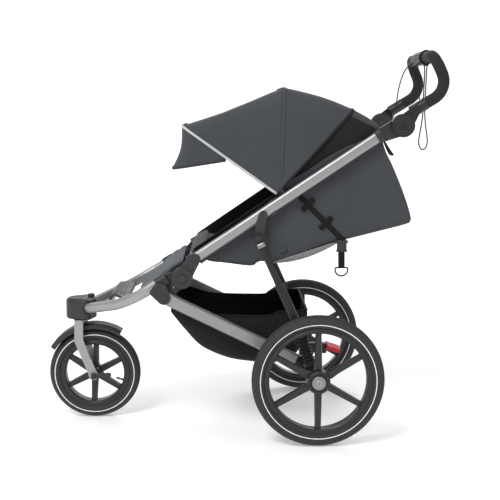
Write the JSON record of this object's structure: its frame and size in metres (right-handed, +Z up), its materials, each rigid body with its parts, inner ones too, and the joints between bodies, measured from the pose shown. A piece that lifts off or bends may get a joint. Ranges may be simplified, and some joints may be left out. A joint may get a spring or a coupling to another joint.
{
  "type": "jogging stroller",
  "caption": "Three-wheeled folding jogging stroller with a swivelling front wheel, reclining seat, hinged sun canopy, sprung rear wheels, basket and tilting handlebar.",
  "frame": {"origin": "on the ground under the middle of the bounding box", "axes": "+Z up, -X the direction of travel towards the front wheel, +X towards the handlebar, -Y the left side, +Y the right side"},
  "size_m": [1.2511, 0.69, 1.1867],
  "materials": {
    "frame_silver": "satin",
    "leg_silver": "satin",
    "strut_black": "satin",
    "axle_steel": "satin",
    "plastic_dark": "matte",
    "plastic_trim": "matte",
    "rim_dark": "satin",
    "tyre": "matte",
    "boot_rubber": "matte",
    "cable_black": "satin",
    "grip_foam": "matte",
    "fabric_canopy": "matte",
    "fabric_seat": "matte",
    "fabric_dark": "matte",
    "webbing": "matte",
    "pedal_red": "satin",
    "cap_silver": "satin"
  },
  "bodies": {
    "upper_frame": {"upper_tube_left": "frame_silver", "upper_tube_right": "frame_silver", "hinge_housing_left": "plastic_dark", "hinge_housing_right": "plastic_dark", "handlebar_hub_left": "plastic_dark", "handlebar_hub_right": "plastic_dark", "frame_bracket_left": "plastic_dark", "frame_bracket_right": "plastic_dark", "seat_crossbar": "strut_black", "seat_pod": "fabric_canopy", "seat_cushion": "fabric_seat", "harness": "webbing", "recline_straps": "webbing", "rear_hood": "fabric_dark"},
    "harness_button": {"harness_button": "plastic_trim"},
    "backrest": {"backrest": "fabric_seat", "shoulder_straps": "webbing"},
    "canopy_mid": {"canopy_mid_hoop": "strut_black", "canopy_rear_panel": "fabric_canopy"},
    "canopy_front": {"canopy_front_hoop": "strut_black", "canopy_front_panel": "fabric_canopy"},
    "visor": {"canopy_visor": "fabric_canopy"},
    "handlebar": {"handlebar_bar": "strut_black", "handlebar_grip": "grip_foam", "brake_cable_left": "cable_black", "brake_cable_right": "cable_black", "wrist_strap": "cable_black"},
    "brake_twist": {"brake_twist": "plastic_dark"},
    "hub_button_left": {"hub_button_left": "plastic_trim"},
    "hub_button_right": {"hub_button_right": "plastic_trim"},
    "front_frame": {"lower_tube_left": "frame_silver", "lower_tube_right": "frame_silver", "hinge_plate_left": "plastic_dark", "hinge_plate_right": "plastic_dark", "front_housing": "plastic_dark", "footrest": "plastic_trim", "leg_rest": "fabric_seat"},
    "swivel_lock": {"swivel_lock": "plastic_dark"},
    "fork": {"front_fork": "frame_silver", "front_fender": "plastic_dark", "front_axle": "axle_steel"},
    "axle_lever": {"axle_lever": "plastic_dark"},
    "front_wheel": {"front_tyre": "tyre", "front_rim": "rim_dark"},
    "rear_frame": {"rear_leg_left": "leg_silver", "rear_leg_right": "leg_silver", "rear_axle_beam": "strut_black", "basket": "fabric_dark"},
    "brake_pedal": {"brake_pedal": "pedal_red"},
    "wheel_carrier_left": {"wheel_carrier_left": "plastic_dark", "shock_boot_left": "boot_rubber"},
    "wheel_carrier_right": {"wheel_carrier_right": "plastic_dark", "shock_boot_right": "boot_rubber"},
    "rear_wheel_left": {"rear_tyre_left": "tyre", "rear_rim_left": "rim_dark"},
    "rear_wheel_right": {"rear_tyre_right": "tyre", "rear_rim_right": "rim_dark"},
    "wheel_release_left": {"wheel_release_left": "cap_silver"},
    "wheel_release_right": {"wheel_release_right": "cap_silver"},
    "struts": {"struts": "strut_black"}
  },
  "joints": [
    {"name": "frame_fold", "type": "hinge", "parent": "upper_frame", "child": "front_frame", "pos_m": [-0.18, 0, 0.497], "axis": [0, -1, 0], "range_deg": [0, 100], "deforming": ["basket"]},
    {"name": "rear_leg_fold", "type": "hinge", "parent": "front_frame", "child": "rear_frame", "pos_m": [-0.236, 0, 0.438], "axis": [0, -1, 0], "range_deg": [-86, 0]},
    {"name": "strut_fold", "type": "hinge", "parent": "upper_frame", "child": "struts", "pos_m": [0.05, 0, 0.62], "axis": [0, -1, 0], "range_deg": [0, 29]},
    {"name": "suspension_left", "type": "slide", "parent": "rear_frame", "child": "wheel_carrier_left", "axis": [-0.3022, 0, 0.9533], "range_m": [0, 0.016], "stiffness_N_per_m": 8000, "springref_m": -0.0125, "deforming": ["shock_boot_left"]},
    {"name": "rear_wheel_left_spin", "type": "hinge", "parent": "wheel_carrier_left", "child": "rear_wheel_left", "pos_m": [0.228, -0.31, 0.2], "axis": [0, 1, 0], "continuous": true},
    {"name": "wheel_release_left_push", "type": "slide", "parent": "rear_wheel_left", "child": "wheel_release_left", "axis": [0, 1, 0], "range_m": [0, 0.0035], "stiffness_N_per_m": 500, "springref_m": -0.002},
    {"name": "hub_button_left_push", "type": "slide", "parent": "upper_frame", "child": "hub_button_left", "axis": [0, -1, 0], "range_m": [0, 0.004], "stiffness_N_per_m": 600, "springref_m": -0.002},
    {"name": "suspension_right", "type": "slide", "parent": "rear_frame", "child": "wheel_carrier_right", "axis": [-0.3022, 0, 0.9533], "range_m": [0, 0.016], "stiffness_N_per_m": 8000, "springref_m": -0.0125, "deforming": ["shock_boot_right"]},
    {"name": "rear_wheel_right_spin", "type": "hinge", "parent": "wheel_carrier_right", "child": "rear_wheel_right", "pos_m": [0.228, 0.31, 0.2], "axis": [0, 1, 0], "continuous": true},
    {"name": "wheel_release_right_push", "type": "slide", "parent": "rear_wheel_right", "child": "wheel_release_right", "axis": [0, -1, 0], "range_m": [0, 0.0035], "stiffness_N_per_m": 500, "springref_m": -0.002},
    {"name": "hub_button_right_push", "type": "slide", "parent": "upper_frame", "child": "hub_button_right", "axis": [0, 1, 0], "range_m": [0, 0.004], "stiffness_N_per_m": 600, "springref_m": -0.002},
    {"name": "caster_swivel", "type": "hinge", "parent": "front_frame", "child": "fork", "pos_m": [-0.52, 0, 0.358], "axis": [0, 0, 1], "continuous": true},
    {"name": "swivel_lock_pull", "type": "slide", "parent": "front_frame", "child": "swivel_lock", "axis": [0, 0, 1], "range_m": [0, 0.008], "stiffness_N_per_m": 400, "springref_m": -0.003},
    {"name": "front_wheel_spin", "type": "hinge", "parent": "fork", "child": "front_wheel", "pos_m": [-0.478, 0, 0.1485], "axis": [0, 1, 0], "continuous": true},
    {"name": "axle_lever_open", "type": "hinge", "parent": "fork", "child": "axle_lever", "pos_m": [-0.478, -0.061, 0.1485], "axis": [0, 0, -1], "range_deg": [0, 80]},
    {"name": "brake_pedal_press", "type": "hinge", "parent": "rear_frame", "child": "brake_pedal", "pos_m": [0.212, 0, 0.222], "axis": [0, 1, 0], "range_deg": [0, 20]},
    {"name": "backrest_recline", "type": "hinge", "parent": "upper_frame", "child": "backrest", "pos_m": [0.08, 0, 0.562], "axis": [0, -1, 0], "range_deg": [0, 40]},
    {"name": "canopy_fold", "type": "hinge", "parent": "upper_frame", "child": "canopy_mid", "pos_m": [0.122, 0, 0.762], "axis": [0, 1, 0], "range_deg": [0, 33], "deforming": ["canopy_rear_panel"]},
    {"name": "canopy_front_fold", "type": "hinge", "parent": "canopy_mid", "child": "canopy_front", "pos_m": [0.122, 0, 0.762], "axis": [0, 1, 0], "range_deg": [0, 52], "deforming": ["canopy_front_panel"]},
    {"name": "visor_flip", "type": "hinge", "parent": "canopy_front", "child": "visor", "pos_m": [-0.046, 0, 0.868], "axis": [0, 1, 0], "range_deg": [0, 45]},
    {"name": "handlebar_tilt", "type": "hinge", "parent": "upper_frame", "child": "handlebar", "pos_m": [0.485, 0, 0.957], "axis": [0, 1, 0], "range_deg": [-60, 30]},
    {"name": "brake_twist_turn", "type": "hinge", "parent": "handlebar", "child": "brake_twist", "pos_m": [0.578, 0, 1.165], "axis": [0, 1, 0], "range_deg": [0, 35], "stiffness_Nm_per_rad": 0.6, "springref_deg": -5.73},
    {"name": "harness_button_push", "type": "slide", "parent": "upper_frame", "child": "harness_button", "axis": [0, 0, -1], "range_m": [0, 0.003], "stiffness_N_per_m": 400, "springref_m": -0.002}
  ],
  "couplings": [
    {"joint": "rear_leg_fold", "follows": "frame_fold", "ratio": -0.852},
    {"joint": "strut_fold", "follows": "frame_fold", "ratio": 0.283},
    {"joint": "canopy_front_fold", "follows": "canopy_fold", "ratio": 1.55}
  ]
}
